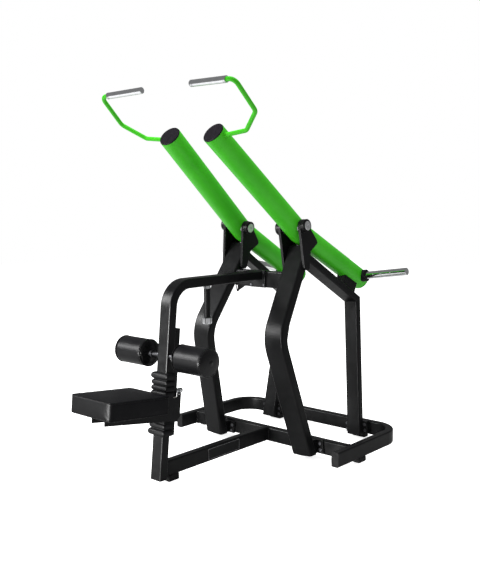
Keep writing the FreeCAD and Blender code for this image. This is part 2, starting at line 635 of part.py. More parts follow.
# ---------------------------------------------------------------- thigh rollers
axle_c = (0, ROLLER_V, ROLLER_W)
axle = cyl((-318, ROLLER_V, ROLLER_W), (1, 0, 0), AXLE_R, 636)
collars = []
rollers = {}
for sx, name in ((1, "right"), (-1, "left")):
    collars.append(ring((sx * 92, ROLLER_V, ROLLER_W), (sx, 0, 0), 20, AXLE_R, 15))
    collars.append(ring((sx * 300.5, ROLLER_V, ROLLER_W), (sx, 0, 0), 15.5, AXLE_R, 12))
    core = ring((sx * ROLLER_IN, ROLLER_V, ROLLER_W), (sx, 0, 0), 16, AXLE_R + RUN_GAP, 300 - ROLLER_IN)
    foam = ring((sx * ROLLER_IN, ROLLER_V, ROLLER_W), (sx, 0, 0), ROLLER_R, 16, ROLLER_OUT - ROLLER_IN)
    dome_r = (ROLLER_R * ROLLER_R / 14.0 + 14.0) / 2
    inner_dome = Part.makeSphere(dome_r, V(sx * (ROLLER_IN - 18 + dome_r), ROLLER_V, ROLLER_W))
    inner_cap = ring((sx * ROLLER_IN, ROLLER_V, ROLLER_W), (-sx, 0, 0), ROLLER_R - 1, 16, 20)
    inner_cap = inner_cap.common(inner_dome)
    dome = Part.makeSphere(dome_r, V(sx * (ROLLER_OUT + 18 - dome_r), ROLLER_V, ROLLER_W))
    outer_cap = cyl((sx * ROLLER_OUT, ROLLER_V, ROLLER_W), (sx, 0, 0), ROLLER_R - 1, 20).common(dome)
    rollers[name] = (core, foam, Part.makeCompound([inner_cap, outer_cap]))

# ---------------------------------------------------------------- hanging brace grip
beam_under = TOP_BEAM_Z - SEATPOST_D
stud = cyl((0, BRACE_Y, beam_under), (0, 0, -1), 8, 205)
brace_collar = ring((0, BRACE_Y, beam_under), (0, 0, -1), 19.5, 8, 17)
sleeve_grip = ring((0, BRACE_Y, beam_under - 17), (0, 0, -1), 18, 8, 164)
brace_cap = cyl((0, BRACE_Y, beam_under - 181), (0, 0, -1), 26.5, 37)
brace_cap = brace_cap.cut(cyl((0, BRACE_Y, beam_under - 181), (0, 0, -1), 8, 24))
cap_edges = [e for e in brace_cap.Edges if e.BoundBox.ZLength < 0.1 and e.Length > 100]
brace_cap = brace_cap.makeFillet(5.0, cap_edges)

# ---------------------------------------------------------------- feet and end caps
feet = [box(-22, 22, -520, -446, 0, centre_z)]
for sx in (-1, 1):
    outer_x = sx * (BASE_X - 2)
    inner_x = sx * (BASE_X - BEAM_W + 2)
    feet.append(box(min(outer_x, inner_x), max(outer_x, inner_x), 405, 474, 0, FRAME_Z))
    a = sx * 300
    b = sx * 390
    feet.append(box(min(a, b), max(a, b), BASE_REAR_Y - BEAM_W + 2, BASE_REAR_Y - 2, 0, FRAME_Z))
rounded_feet = []
for f in feet:
    edges = [e for e in f.Edges if e.CenterOfMass.z < 0.1]
    rounded_feet.append(f.makeChamfer(4.0, edges))

end_caps = []
for sx in (-1, 1):
    c = sx * half
    plug = section((c, BASE_FRONT_Y, mid_z), (0, -1, 0), (1, 0, 0), BEAM_W, BEAM_H, BEAM_R)
    face_plate = Part.Face(plug).extrude(V(0, -4, 0))
    inner_plug = section((c, BASE_FRONT_Y, mid_z), (0, -1, 0), (1, 0, 0), BEAM_W - 2 * BEAM_T,
                         BEAM_H - 2 * BEAM_T, BEAM_R - BEAM_T)
    body = Part.Face(inner_plug).extrude(V(0, 20, 0))
    end_caps.append(face_plate.fuse(body).removeSplitter())

# ---------------------------------------------------------------- frame bolts
bolts = []
for bx in (-82, 82):
    for bz in (24, 62):
        spot = cyl((bx, flange_y - 1, bz), (0, 1, 0), 6.3, 14 + 24)
        for hole, mirror in ((side_place(spot), False), (side_place(spot, True), True)):
            cross_beam = cross_beam.cut(hole)
        leg = leg.cut(side_place(spot))
        bolts += both(bolt((bx, flange_y, bz), (0, 1, 0), 6.0, 14 + 20, 19, 8))
rear_face = 826.0
for bx in (-65, 65):
    for bz in (24, 62):
        spot = cyl((bx, rear_face - 1, bz), (0, 1, 0), 6.3, 27 + 24)
        for hole in both(spot):
            base_frame = base_frame.cut(hole)
        rear = rear.cut(side_place(spot))
        bolts += both(bolt((bx, rear_face, bz), (0, 1, 0), 6.0, 27 + 20, 19, 8))
for bx in (-49.5, 49.5):
    for bz in (TOP_BEAM_Z - 86, TOP_BEAM_Z - 12):
        spot = cyl((bx, TOP_BEAM_END - 1, bz), (0, 1, 0), 4.3, 12 + 20)
        top_flange = top_flange.cut(spot)
        member = member.cut(spot)
        bolts.append(bolt((bx, TOP_BEAM_END, bz), (0, 1, 0), 4.0, 12 + 14, 13, 5))

# ---------------------------------------------------------------- floor frame split at its welds
bend_x = BASE_X - BASE_CORNER_R
bend_y = BASE_REAR_Y - BASE_CORNER_R
bend_room = [box(bend_x, 800, bend_y, 1000, 0, 200), box(-800, -bend_x, bend_y, 1000, 0, 200)]
base_corners = [base_frame.common(b) for b in bend_room]
for b in bend_room:
    base_frame = base_frame.cut(b)

# ---------------------------------------------------------------- register the pieces
keep("base_frame", base_frame)
keep("base_corners", Part.makeCompound(base_corners))
keep("cross_beam", cross_beam)
keep("centre_beam", centre_beam)
keep("name_plate", name_plate)
keep("front_post", front_post)
keep("top_beam_flange", top_flange)
keep("leg_cross_member", member)
keep("leg_right", leg)
keep("leg_left", leg.mirror(V(0, 0, 0), V(1, 0, 0)))
keep("frame_bolts", Part.makeCompound(bolts))
keep_pair("pivot_ears", ear_pair)
keep("pivot_shafts", Part.makeCompound(both(shaft)))
keep("pivot_caps", Part.makeCompound([s for c in caps for s in both(c)]))
keep_pair("inclined_beam", inclined)
keep("rear_post_right", rear)
keep("rear_post_left", rear.mirror(V(0, 0, 0), V(1, 0, 0)))
keep("stop_pads", Part.makeCompound(both(stop_pad)))
keep("rubber_feet", Part.makeCompound(rounded_feet))
keep("base_end_caps", Part.makeCompound(end_caps))
keep("seat_rail", post_place(rail))
keep("roller_axle", post_place(axle))
keep("roller_collars", Part.makeCompound([post_place(c) for c in collars]))
keep("brace_sleeve", sleeve_grip)
keep("brace_fittings", Part.makeCompound([stud, brace_collar, brace_cap]))
keep("carriage_sleeve", post_place(sleeve))
keep("carriage_liners", Part.makeCompound([post_place(s) for s in liners]))
keep("carriage_plates", Part.makeCompound([post_place(plate_left), post_place(plate_right)]))
keep("seat_board", post_place(board))
keep("seat_pad", post_place(seat_pad))
keep("seat_bolts", Part.makeCompound([post_place(b) for b in seat_bolts]))
keep("ribbed_buffers", Part.makeCompound([post_place(upper_buffer), post_place(lower_buffer)]))
keep("pin_barrel", post_place(barrel))
keep("adjust_pin", post_place(adjust_pin))
for name, (core, foam, ends) in rollers.items():
    keep("roller_core_" + name, post_place(core))
    keep("roller_foam_" + name, post_place(foam))
    keep("roller_caps_" + name, post_place(ends))
keep_pair("lever_tube", lever)
keep_pair("pivot_hub", hub)
keep_pair("pivot_bearings", Part.makeCompound(bearings))
keep_pair("tube_caps", Part.makeCompound([top_cap, low_cap]))
keep_pair("balance_slug", slug)
keep_pair("handle_bar", bar)
keep_pair("hand_grip", grip)
keep_pair("weight_horn", rod)
keep_pair("horn_collar", collar)

for name, shape in PARTS.items():
    shape.translate(V(0, DATUM_Y, 0))
    for s in shape.Solids:
        if not s.isValid():
            print("INVALID", name)
    shape.exportStep("parts/" + name + ".step")
    bb = shape.BoundBox
    print("%-22s solids %2d  x %7.1f..%7.1f  y %7.1f..%7.1f  z %7.1f..%7.1f  vol %8.1f" % (
        name, len(shape.Solids), bb.XMin, bb.XMax, bb.YMin, bb.YMax, bb.ZMin, bb.ZMax,
        shape.Volume / 1000.0))
print("nodes", len(PARTS))
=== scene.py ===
import json
import math

import bmesh
import bpy
from mathutils import Matrix, Vector
from mathutils.bvhtree import BVHTree

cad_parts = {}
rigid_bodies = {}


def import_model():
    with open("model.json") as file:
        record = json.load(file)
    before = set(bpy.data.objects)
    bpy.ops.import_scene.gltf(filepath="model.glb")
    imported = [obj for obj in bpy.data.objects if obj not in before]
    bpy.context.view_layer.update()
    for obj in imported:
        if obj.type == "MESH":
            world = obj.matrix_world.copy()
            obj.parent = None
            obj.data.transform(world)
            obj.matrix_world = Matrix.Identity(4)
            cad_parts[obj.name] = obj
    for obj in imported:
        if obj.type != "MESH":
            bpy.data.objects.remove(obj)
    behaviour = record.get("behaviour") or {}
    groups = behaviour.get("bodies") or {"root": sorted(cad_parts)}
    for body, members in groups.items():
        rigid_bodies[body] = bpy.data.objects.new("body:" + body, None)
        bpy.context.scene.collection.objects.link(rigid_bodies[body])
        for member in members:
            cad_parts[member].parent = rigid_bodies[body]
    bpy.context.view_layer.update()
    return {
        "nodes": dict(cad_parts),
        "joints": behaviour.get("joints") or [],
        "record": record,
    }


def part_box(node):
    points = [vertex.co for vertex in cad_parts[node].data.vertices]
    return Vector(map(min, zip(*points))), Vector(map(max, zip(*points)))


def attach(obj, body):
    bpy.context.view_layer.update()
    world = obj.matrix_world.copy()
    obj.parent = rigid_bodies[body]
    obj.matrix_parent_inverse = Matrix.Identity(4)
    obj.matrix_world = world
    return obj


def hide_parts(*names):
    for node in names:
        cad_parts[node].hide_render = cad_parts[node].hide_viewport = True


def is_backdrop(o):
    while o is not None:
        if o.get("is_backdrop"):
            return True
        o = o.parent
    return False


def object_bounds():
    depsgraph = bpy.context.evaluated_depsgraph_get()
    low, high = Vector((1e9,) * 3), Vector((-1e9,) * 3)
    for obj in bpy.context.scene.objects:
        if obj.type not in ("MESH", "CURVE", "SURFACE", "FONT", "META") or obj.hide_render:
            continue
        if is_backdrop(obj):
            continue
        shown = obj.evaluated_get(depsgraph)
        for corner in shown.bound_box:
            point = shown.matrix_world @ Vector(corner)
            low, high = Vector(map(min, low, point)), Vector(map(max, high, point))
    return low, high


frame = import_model()
nodes = frame["nodes"]
joints = {j["name"]: j for j in frame["joints"]}

# The seat post leans, so its own directions come from the joint that slides along it.
UP_POST = Vector(joints["seat_slide"]["axis"]).normalized()
BACK_POST = Vector((0, UP_POST.z, -UP_POST.y))
ACROSS = Vector((1, 0, 0))


# ------------------------------------------------------------------ measuring the frame
def span(node, direction):
    """Lowest and highest reach of a CAD node along a direction."""
    d = [v.co.dot(direction) for v in nodes[node].data.vertices]
    return min(d), max(d)


def islands(node):
    """The CAD node's separate solids, each a list of corner points."""
    bm = bmesh.new()
    bm.from_mesh(nodes[node].data)
    bmesh.ops.remove_doubles(bm, verts=bm.verts, dist=1e-6)
    bm.verts.ensure_lookup_table()
    seen = set()
    found = []
    for v in bm.verts:
        if v.index in seen:
            continue
        stack = [v]
        seen.add(v.index)
        points = []
        while stack:
            a = stack.pop()
            points.append(a.co.copy())
            for e in a.link_edges:
                b = e.other_vert(a)
                if b.index not in seen:
                    seen.add(b.index)
                    stack.append(b)
        found.append(points)
    bm.free()
    return found


# ------------------------------------------------------------------ materials
def node(tree, kind, **values):
    n = tree.nodes.new(kind)
    for key, value in values.items():
        if key in n.inputs:
            n.inputs[key].default_value = value
        else:
            setattr(n, key, value)
    return n


def noise(tree, coords, scale, detail=2.0, rough=0.5):
    n = node(tree, "ShaderNodeTexNoise", Scale=scale, Detail=detail, Roughness=rough)
    tree.links.new(coords, n.inputs["Vector"])
    return n.outputs["Fac"]


def remap(tree, value, low, high, to_low, to_high):
    n = node(tree, "ShaderNodeMapRange")
    n.inputs["From Min"].default_value = low
    n.inputs["From Max"].default_value = high
    n.inputs["To Min"].default_value = to_low
    n.inputs["To Max"].default_value = to_high
    tree.links.new(value, n.inputs["Value"])
    return n.outputs["Result"]


def mix_colour(tree, factor, a, b):
    n = tree.nodes.new("ShaderNodeMix")
    n.data_type = "RGBA"
    tree.links.new(factor, n.inputs["Factor"])
    for socket, value in (("A", a), ("B", b)):
        if isinstance(value, tuple):
            n.inputs[socket].default_value = (*value, 1)
        else:
            tree.links.new(value, n.inputs[socket])
    return n.outputs["Result"]


def start_material(name, metallic=0.0, specular=0.5):
    m = bpy.data.materials.new(name)
    m.use_nodes = True
    tree = m.node_tree
    shader = tree.nodes["Principled BSDF"]
    shader.inputs["Metallic"].default_value = metallic
    shader.inputs["Specular IOR Level"].default_value = specular
    coords = tree.nodes.new("ShaderNodeTexCoord").outputs["Object"]
    return m, tree, shader, coords


def bump(tree, shader, height, distance, strength, edge=0.0):
    b = node(tree, "ShaderNodeBump", Strength=strength, Distance=distance)
    tree.links.new(height, b.inputs["Height"])
    if edge > 0:
        rounder = node(tree, "ShaderNodeBevel", samples=4, Radius=edge)
        tree.links.new(rounder.outputs["Normal"], b.inputs["Normal"])
    tree.links.new(b.outputs["Normal"], shader.inputs["Normal"])
    return b


def edge_mask(tree, coords, radius, threshold=0.03):
    """1 along rubbed outer edges, broken up by noise."""
    rounder = node(tree, "ShaderNodeBevel", samples=4, Radius=radius)
    flat = tree.nodes.new("ShaderNodeNewGeometry")
    dot = node(tree, "ShaderNodeVectorMath", operation="DOT_PRODUCT")
    tree.links.new(rounder.outputs["Normal"], dot.inputs[0])
    tree.links.new(flat.outputs["Normal"], dot.inputs[1])
    edge = remap(tree, dot.outputs["Value"], 1 - threshold, 1 - threshold * 4, 0, 1)
    patch = remap(tree, noise(tree, coords, 35, 4, 0.6), 0.46, 0.62, 0, 1)
    both = node(tree, "ShaderNodeMath", operation="MULTIPLY")
    tree.links.new(edge, both.inputs[0])
    tree.links.new(patch, both.inputs[1])
    return both.outputs["Value"]


def painted(name, colour, second, worn, rough, peel, specular=0.5, edge=0.0018):
    """Powder coat: fine orange peel, slow colour drift, rubbed edges."""
    m, tree, shader, coords = start_material(name, specular=specular)
    drift = remap(tree, noise(tree, coords, 5, 3), 0.35, 0.65, 0, 1)
    base = mix_colour(tree, drift, colour, second)
    if edge > 0:
        base = mix_colour(tree, edge_mask(tree, coords, 0.002), base, worn)
    tree.links.new(base, shader.inputs["Base Color"])
    grime = noise(tree, coords, 22, 5, 0.65)
    tree.links.new(remap(tree, grime, 0.3, 0.7, rough - 0.05, rough + 0.07), shader.inputs["Roughness"])
    bump(tree, shader, noise(tree, coords, 160, 2), 0.0001, peel, edge)
    return m


def metal(name, colour, rough, grain=0.15, scale=900, specular=0.5):
    m, tree, shader, coords = start_material(name, metallic=1.0, specular=specular)
    cloud = remap(tree, noise(tree, coords, 30, 4), 0.35, 0.65, 0, 1)
    darker = tuple(c * 0.88 for c in colour)
    tree.links.new(mix_colour(tree, cloud, colour, darker), shader.inputs["Base Color"])
    tree.links.new(remap(tree, noise(tree, coords, 70, 4), 0.3, 0.7, rough * 0.75, rough * 1.4),
                   shader.inputs["Roughness"])
    bump(tree, shader, noise(tree, coords, scale, 2), 0.0002, grain, 0.0008)
    return m


def moulded(name, colour, second, rough, grain, scale, specular=0.5, edge=0.0012):
    """Rubber or plastic with a fine moulded skin."""
    m, tree, shader, coords = start_material(name, specular=specular)
    mottle = remap(tree, noise(tree, coords, 45, 4, 0.6), 0.35, 0.65, 0, 1)
    tree.links.new(mix_colour(tree, mottle, colour, second), shader.inputs["Base Color"])
    tree.links.new(remap(tree, noise(tree, coords, 60, 4), 0.3, 0.7, rough - 0.06, rough + 0.08),
                   shader.inputs["Roughness"])
    bump(tree, shader, noise(tree, coords, scale, 3), 0.0005, grain, edge)
    return m


def vinyl(name, colour, second, rough, cell, strength, specular=0.08):
    """Upholstery vinyl: small rounded leather cells with creases between them."""
    m, tree, shader, coords = start_material(name, specular=specular)
    cells = node(tree, "ShaderNodeTexVoronoi", Scale=cell)
    cells.feature = "DISTANCE_TO_EDGE"
    warp = node(tree, "ShaderNodeTexNoise", Scale=cell * 0.35, Detail=2.0)
    tree.links.new(coords, warp.inputs["Vector"])
    shift = node(tree, "ShaderNodeVectorMath", operation="MULTIPLY_ADD")
    tree.links.new(warp.outputs["Color"], shift.inputs[0])
    shift.inputs[1].default_value = (0.004, 0.004, 0.004)
    tree.links.new(coords, shift.inputs[2])
    tree.links.new(shift.outputs["Vector"], cells.inputs["Vector"])
    grain = remap(tree, cells.outputs["Distance"], 0.0, 0.18, 0.0, 1.0)
    broad = noise(tree, coords, 9, 3)
    base = mix_colour(tree, remap(tree, broad, 0.35, 0.65, 0, 1), colour, second)
    tree.links.new(base, shader.inputs["Base Color"])
    tree.links.new(remap(tree, grain, 0, 1, rough + 0.14, rough), shader.inputs["Roughness"])
    bump(tree, shader, grain, 0.0005, strength)
    return m


def streaked(name, colour, rough, stretch, strength):
    """Plated bar whose faint drawing lines run along it and break up reflections."""
    m, tree, shader, coords = start_material(name, metallic=1.0)
    cloud = remap(tree, noise(tree, coords, 30, 4), 0.35, 0.65, 0, 1)
    tree.links.new(mix_colour(tree, cloud, colour, tuple(c * 0.85 for c in colour)),
                   shader.inputs["Base Color"])
    scaled = node(tree, "ShaderNodeVectorMath", operation="MULTIPLY")
    tree.links.new(coords, scaled.inputs[0])
    scaled.inputs[1].default_value = stretch
    lines = noise(tree, scaled.outputs["Vector"], 1.0, 4, 0.6)
    tree.links.new(remap(tree, lines, 0.3, 0.7, rough * 0.6, rough * 1.8), shader.inputs["Roughness"])
    bump(tree, shader, lines, 0.002, strength)
    return m


def knurled(name, colour, rough, pitch, strength):
    """Chrome with a diamond knurl; the piece's UVs are in metres around and along."""
    m, tree, shader, coords = start_material(name, metallic=1.0)
    cloud = remap(tree, noise(tree, coords, 40, 4), 0.35, 0.65, 0, 1)
    tree.links.new(mix_colour(tree, cloud, colour, tuple(c * 0.9 for c in colour)),
                   shader.inputs["Base Color"])
    tree.links.new(remap(tree, noise(tree, coords, 80, 3), 0.3, 0.7, rough * 0.8, rough * 1.3),
                   shader.inputs["Roughness"])
    uv = tree.nodes.new("ShaderNodeUVMap").outputs["UV"]
    cuts = []
    for turn in (1, -1):
        flip = node(tree, "ShaderNodeVectorMath", operation="MULTIPLY")
        tree.links.new(uv, flip.inputs[0])
        flip.inputs[1].default_value = (turn, 1, 1)
        wave = node(tree, "ShaderNodeTexWave", Scale=2 * math.pi / (10 * pitch * math.sqrt(2)))
        wave.bands_direction = "DIAGONAL"
        tree.links.new(flip.outputs["Vector"], wave.inputs["Vector"])
        cuts.append(wave.outputs["Fac"])
    diamonds = node(tree, "ShaderNodeMath", operation="MULTIPLY")
    tree.links.new(cuts[0], diamonds.inputs[0])
    tree.links.new(cuts[1], diamonds.inputs[1])
    bump(tree, shader, diamonds.outputs["Value"], 0.00005, strength)
    return m


M = {}
M["frame"] = painted("paint_frame_black", (0.0042, 0.0043, 0.0047), (0.0062, 0.0064, 0.0068),
                     (0.04, 0.04, 0.04), 0.34, 0.05, specular=0.10)
M["green"] = painted("paint_arm_green", (0.036, 0.375, 0.009), (0.045, 0.415, 0.012),
                     (0.12, 0.50, 0.06), 0.36, 0.012, specular=0.20, edge=0.0)
M["zinc"] = metal("bright_zinc", (0.86, 0.87, 0.88), 0.34, 0.10)
M["plate"] = painted("paint_plate", (0.006, 0.0062, 0.0066), (0.008, 0.0083, 0.0087),
                     (0.08, 0.08, 0.08), 0.34, 0.04, specular=0.09)
M["border"] = painted("plate_border_silver", (0.14, 0.14, 0.15), (0.18, 0.18, 0.19),
                      (0.3, 0.3, 0.3), 0.4, 0.03, specular=0.3)
M["bolt"] = metal("black_oxide", (0.06, 0.06, 0.065), 0.34, 0.2)
M["weld"] = moulded("weld_bead", (0.0050, 0.0052, 0.0056), (0.0080, 0.0082, 0.0086), 0.40, 0.3, 300,
                    specular=0.1)
M["steel"] = metal("turned_steel", (0.60, 0.61, 0.63), 0.24, 0.2)
M["darksteel"] = metal("oiled_steel", (0.045, 0.045, 0.048), 0.38, 0.2)
M["chrome"] = metal("chrome_plate", (0.80, 0.81, 0.83), 0.09, 0.05)
M["horn"] = streaked("horn_chrome", (0.78, 0.80, 0.80), 0.10, (7, 90, 90), 0.10)
M["grip"] = knurled("grip_knurled_chrome", (0.84, 0.85, 0.87), 0.08, 0.0018, 0.05)
M["rubber"] = moulded("moulded_rubber", (0.0050, 0.0050, 0.0056), (0.0090, 0.0090, 0.0096), 0.46, 0.15, 500,
                      specular=0.09)
M["plastic"] = moulded("moulded_plastic", (0.0065, 0.0065, 0.0070), (0.010, 0.010, 0.0105), 0.42, 0.10, 600,
                       specular=0.09)
M["gloss"] = moulded("glossy_cap", (0.0042, 0.0042, 0.0047), (0.0060, 0.0060, 0.0065), 0.20, 0.02, 600,
                     specular=0.22)
M["tubecap"] = moulded("tube_cap_plastic", (0.0062, 0.0050, 0.0072), (0.0090, 0.0075, 0.0105), 0.5, 0.15, 400,
                       specular=0.06)
M["nylon"] = moulded("natural_nylon", (0.68, 0.66, 0.60), (0.60, 0.58, 0.52), 0.45, 0.15, 500)
M["ply"] = moulded("stained_ply", (0.012, 0.011, 0.010), (0.020, 0.018, 0.016), 0.7, 0.4, 160)
M["core"] = moulded("core_plastic", (0.05, 0.05, 0.05), (0.07, 0.07, 0.07), 0.5, 0.2, 600)
M["iron"] = moulded("cast_iron", (0.10, 0.10, 0.105), (0.06, 0.06, 0.062), 0.6, 0.6, 300)
M["vinyl"] = vinyl("seat_vinyl", (0.0040, 0.0040, 0.0047), (0.0060, 0.0060, 0.0068), 0.34, 420, 0.12,
                   specular=0.055)
M["skin"] = vinyl("roller_skin", (0.0055, 0.0055, 0.0064), (0.0080, 0.0080, 0.0088), 0.30, 600, 0.06,
                  specular=0.08)
M["thread"] = moulded("seam_thread", (0.012, 0.012, 0.013), (0.020, 0.020, 0.021), 0.6, 0.3, 1500)

SLOT_MATERIAL = {
    "frame_black": "frame", "plate_black": "plate", "bolt_black": "bolt", "bright_steel": "steel",
    "chrome": "chrome", "black_rubber": "rubber", "black_plastic": "plastic", "nylon": "nylon",
    "plywood": "ply", "seat_vinyl": "vinyl", "roller_foam": "skin", "core_plastic": "core",
    "arm_green": "green", "cast_iron": "iron",
}
for row in frame["record"]["subparts"]:
    part = nodes[row["node"]]
    part.data.materials.clear()
    part.data.materials.append(M[SLOT_MATERIAL[row["material_slot"]]])
for name in ("tube_caps_left", "tube_caps_right"):
    nodes[name].data.materials[0] = M["tubecap"]
for name in ("roller_axle", "roller_collars"):
    nodes[name].data.materials[0] = M["darksteel"]
for name in ("weight_horn_left", "weight_horn_right"):
    nodes[name].data.materials[0] = M["horn"]
nodes["pivot_caps"].data.materials[0] = M["zinc"]


# ------------------------------------------------------------------ building helpers
def new_piece(name, bm, material, body, crease=40.0):
    mesh = bpy.data.meshes.new(name)
    bmesh.ops.recalc_face_normals(bm, faces=bm.faces)
    bm.to_mesh(mesh)
    bm.free()
    for p in mesh.polygons:
        p.use_smooth = True
    mesh.set_sharp_from_angle(angle=math.radians(crease))
    mesh.materials.append(material)
    obj = bpy.data.objects.new(name, mesh)
    bpy.context.scene.collection.objects.link(obj)
    if body:
        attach(obj, body)
    return obj


def square_to(axis):
    """Unit axis and two directions square to it."""
    a = Vector(axis).normalized()
    helper = UP_POST if abs(a.dot(UP_POST)) < 0.8 else BACK_POST
    side = a.cross(helper).normalized()
    return a, side, a.cross(side).normalized()


def turned_mesh(origin, axis, profile, count=96):
    """Surface of revolution; profile is (distance along the axis, radius) pairs, UVs in metres."""
    a, side, up = square_to(axis)
    bm = bmesh.new()
    uv = bm.loops.layers.uv.new("UVMap")
    rows = []
    for s, r in profile:
        centre = Vector(origin) + a * s
        if r < 1e-6:
            rows.append([bm.verts.new(centre)])
            continue
        row = []
        for i in range(count):
            t = 2 * math.pi * i / count
            row.append(bm.verts.new(centre + side * (r * math.cos(t)) + up * (r * math.sin(t))))
        rows.append(row)
    run = 0.0
    for k in range(len(rows) - 1):
        (s0, r0), (s1, r1) = profile[k], profile[k + 1]
        step = math.hypot(s1 - s0, r1 - r0)
        around = 2 * math.pi * max(r0, r1) / count
        for i in range(count):
            j = (i + 1) % count
            low, high = rows[k], rows[k + 1]
            if len(low) == 1 and len(high) == 1:
                continue
            if len(low) == 1:
                f = bm.faces.new((low[0], high[j], high[i]))
                marks = ((i, 0), (i + 1, 1), (i, 1))
            elif len(high) == 1:
                f = bm.faces.new((low[i], low[j], high[0]))
                marks = ((i, 0), (i + 1, 0), (i, 1))
            else:
                f = bm.faces.new((low[i], low[j], high[j], high[i]))
                marks = ((i, 0), (i + 1, 0), (i + 1, 1), (i, 1))
            for loop, (u, v) in zip(f.loops, marks):
                loop[uv].uv = (u * around, run + v * step)
        run += step
    return bm


def resample(points, step, closed):
    pts = [Vector(p) for p in points]
    if closed:
        pts.append(pts[0].copy())
    lengths = [(b - a).length for a, b in zip(pts, pts[1:])]
    total = sum(lengths)
    count = max(3, round(total / step))
    out = []
    k = 0
    passed = 0.0
    for i in range(count + (0 if closed else 1)):
        want = total * i / count
        while k < len(lengths) - 1 and passed + lengths[k] < want:
            passed += lengths[k]
            k += 1
        t = 0 if lengths[k] == 0 else (want - passed) / lengths[k]
        out.append(pts[k].lerp(pts[k + 1], min(1.0, t)))
    return out


def add_tube(bm, points, radius, closed, sides=8, ripple=0.0, pitch=0.004, step=0.001):
    """Tube along a polyline; ripple swells it in even beads like a weld."""
    pts = resample(points, step, closed)
    n = len(pts)
    normal = None
    rows = []
    for i, p in enumerate(pts):
        before = pts[(i - 1) % n] if closed or i > 0 else p
        after = pts[(i + 1) % n] if closed or i < n - 1 else p
        t = (after - before).normalized()
        if normal is None:
            normal = t.cross(Vector((0.31, 0.87, 0.38))).normalized()
        normal = (normal - t * normal.dot(t)).normalized()
        other = t.cross(normal)
        r = radius * (1 + ripple * math.sin(2 * math.pi * i * step / pitch))
        row = []
        for k in range(sides):
            a = 2 * math.pi * k / sides
            row.append(bm.verts.new(p + normal * (r * math.cos(a)) + other * (r * math.sin(a))))
        rows.append(row)
    last = n if closed else n - 1
    for i in range(last):
        a = rows[i]
        b = rows[(i + 1) % n]
        shift = 0
        if closed and i == n - 1:
            shift = min(range(sides), key=lambda q: (b[q].co - a[0].co).length)
        for k in range(sides):
            k1 = (k + 1) % sides
            bm.faces.new((a[k], a[k1], b[(k1 + shift) % sides], b[(k + shift) % sides]))
    if not closed:
        bm.faces.new(rows[0])
        bm.faces.new(list(reversed(rows[-1])))


def outline_at(node, direction):
    """Outer outline of a CAD node's end face that looks along a direction, as a closed loop."""
    a, side, up = square_to(direction)
    far = span(node, a)[1]
    flat = {}
    for v in nodes[node].data.vertices:
        if v.co.dot(a) > far - 0.0004:
            flat[(round(v.co.dot(side), 5), round(v.co.dot(up), 5))] = v.co.copy()
    keys = sorted(flat)

    def half(order):
        chain = []
        for p in order:
            while len(chain) > 1:
                (ax, ay), (bx, by) = chain[-2], chain[-1]
                if (bx - ax) * (p[1] - ay) - (by - ay) * (p[0] - ax) > 0:
                    break
                chain.pop()
            chain.append(p)
        return chain[:-1]

    return [flat[p] for p in half(keys) + half(list(reversed(keys)))]


def weld(name, node, direction, radius=0.0028):
    """A beaded weld round the end of a beam."""
    bm = bmesh.new()
    outline = outline_at(node, direction)
    add_tube(bm, outline, radius, True, ripple=0.22, pitch=0.005, step=0.0012)
    return new_piece(name, bm, M["weld"], "frame", crease=60)


# ------------------------------------------------------------------ soft forms
def inflate(obj, pinned, cap, pressure=4.0):
    """Blow up with cloth pressure between the pinned seams, cap the movement."""
    mesh = obj.data
    group = obj.vertex_groups.new(name="pin")
    hold = [v.index for v in mesh.vertices if pinned(v.co)]
    group.add(hold, 1.0, "REPLACE")
    rest = [v.co.copy() for v in mesh.vertices]
    cloth = obj.modifiers.new("inflate", "CLOTH")
    cloth.settings.use_pressure = True
    cloth.settings.uniform_pressure_force = pressure
    cloth.settings.effector_weights.gravity = 0.0
    cloth.settings.vertex_group_mass = "pin"
    scene = bpy.context.scene
    for f in range(1, 21):
        scene.frame_set(f)
    blown = bpy.data.meshes.new_from_object(obj.evaluated_get(bpy.context.evaluated_depsgraph_get()))
    for v, a, b in zip(mesh.vertices, rest, blown.vertices):
        move = b.co - a
        d = move.length
        if d > 1e-9:
            v.co = a + move * (cap * math.tanh(d / cap) / d)
    obj.modifiers.remove(cloth)
    bpy.data.meshes.remove(blown)
    scene.frame_set(1)


def apply_modifier(obj, kind, **values):
    mod = obj.modifiers.new("step", kind)
    for key, value in values.items():
        setattr(mod, key, value)
    done = bpy.data.meshes.new_from_object(obj.evaluated_get(bpy.context.evaluated_depsgraph_get()))
    obj.modifiers.remove(mod)
    old = obj.data
    obj.data = done
    bpy.data.meshes.remove(old)


def soft_piece(name, bm, material, body, pinned, cap, voxel=0.005):
    obj = new_piece(name, bm, material, body, crease=180)
    apply_modifier(obj, "REMESH", mode="VOXEL", voxel_size=voxel, use_smooth_shade=True)
    inflate(obj, pinned, cap)
    apply_modifier(obj, "SMOOTH", factor=0.5, iterations=2)
    apply_modifier(obj, "SUBSURF", levels=1, render_levels=1)
    for p in obj.data.polygons:
        p.use_smooth = True
    return obj


# ------------------------------------------------------------------ seat cushion
pad_x = span("seat_pad", ACROSS)[1]
pad_v = span("seat_pad", BACK_POST)
pad_w = (span("seat_board", UP_POST)[0], span("seat_pad", UP_POST)[1])
PAD_CORNER = 0.028
mid_v = (pad_v[0] + pad_v[1]) / 2
half_v = (pad_v[1] - pad_v[0]) / 2


def pad_place(x, v, w):
    return ACROSS * x + BACK_POST * v + UP_POST * w


